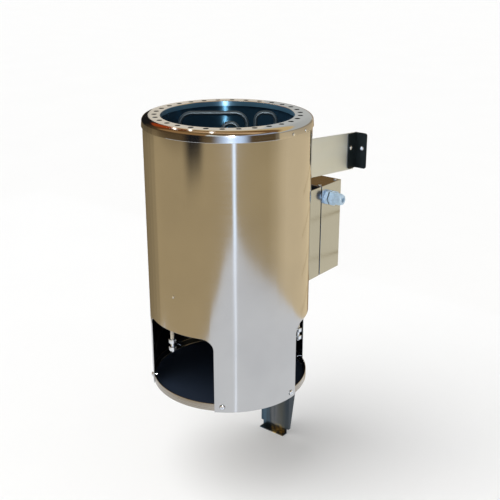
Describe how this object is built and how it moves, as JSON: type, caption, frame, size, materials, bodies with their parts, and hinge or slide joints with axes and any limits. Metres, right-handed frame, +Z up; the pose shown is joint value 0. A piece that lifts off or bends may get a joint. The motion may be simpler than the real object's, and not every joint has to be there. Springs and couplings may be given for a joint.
{
  "type": "sauna heater",
  "caption": "Wall-hung cylindrical sauna heater with an open stone chamber over tubular elements, air windows at its base, a rear junction box, wall bracket and support leg.",
  "frame": {"origin": "on the floor plane under the foot, at the middle of the overall box seen from above", "axes": "+Z up, +Y towards the wall that carries the bracket, -Y is the heater's front, +X is the side with the cable gland"},
  "size_m": [0.3253, 0.4922, 0.763],
  "materials": {
    "stainless": "bright rolled stainless sheet",
    "dark_steel": "dark heat-tinted sheet",
    "leg_steel": "dark coated sheet",
    "element_steel": "grey tubular heating element",
    "zinc": "bright zinc-plated steel",
    "black_paint": "black satin paint",
    "ceramic": "glazed pale ceramic",
    "polyamide": "light grey moulded polyamide",
    "rubber": "black rubber sleeve",
    "block_plastic": "pale moulded plastic"
  },
  "bodies": {
    "heater": {"outer_mantle": "stainless", "top_ring": "stainless", "bottom_pan": "stainless", "upper_bracket": "stainless", "box_mount": "stainless", "box_base": "stainless", "inner_liner": "dark_steel", "element_plate": "dark_steel", "stone_grate": "dark_steel", "support_leg": "leg_steel", "heating_element_1": "element_steel", "heating_element_2": "element_steel", "heating_element_3": "element_steel", "ring_rivet_1": "zinc", "ring_rivet_2": "zinc", "front_rivet": "zinc", "element_nut_1": "zinc", "element_nut_2": "zinc", "element_nut_3": "zinc", "element_nut_4": "zinc", "element_nut_5": "zinc", "element_nut_6": "zinc", "terminal_post_1": "zinc", "terminal_post_2": "zinc", "terminal_post_3": "zinc", "post_nut_1": "zinc", "post_nut_2": "zinc", "post_nut_3": "zinc", "pan_screw_1": "zinc", "pan_screw_2": "zinc", "pan_screw_3": "zinc", "pan_screw_4": "zinc", "pan_screw_5": "zinc", "pan_screw_6": "zinc", "leg_screw_1": "zinc", "leg_screw_2": "zinc", "bracket_screw_1": "zinc", "bracket_screw_2": "zinc", "angle_screw_left": "zinc", "angle_screw_right": "zinc", "wall_screw_left": "zinc", "wall_screw_right": "zinc", "mount_screw_1": "zinc", "mount_screw_2": "zinc", "wall_angle_left": "black_paint", "wall_angle_right": "black_paint", "post_insulator_1": "ceramic", "post_insulator_2": "ceramic", "post_insulator_3": "ceramic", "terminal_block": "block_plastic"},
    "cover": {"box_cover": "stainless", "gland_body": "polyamide", "gland_locknut": "polyamide", "cover_screw_1": "zinc", "cover_screw_2": "zinc", "cover_screw_3": "zinc", "cover_screw_4": "zinc"},
    "seal": {"gland_seal": "rubber"},
    "dome_nut": {"gland_dome_nut": "polyamide"}
  },
  "joints": [
    {"name": "cover_slide", "type": "slide", "parent": "heater", "child": "cover", "axis": [0, 1, 0], "range_m": [0, 0.045]},
    {"name": "gland_seal_slide", "type": "slide", "parent": "cover", "child": "seal", "axis": [1, 0, 0], "range_m": [0, 0.0031]},
    {"name": "gland_nut_turn", "type": "hinge", "parent": "seal", "child": "dome_nut", "pos_m": [0.1, 0.14335, 0.561], "axis": [1, 0, 0], "range_deg": [0, 720]}
  ],
  "couplings": [
    {"joint": "gland_seal_slide", "follows": "gland_nut_turn", "m_per_rad": 0.00023873}
  ]
}
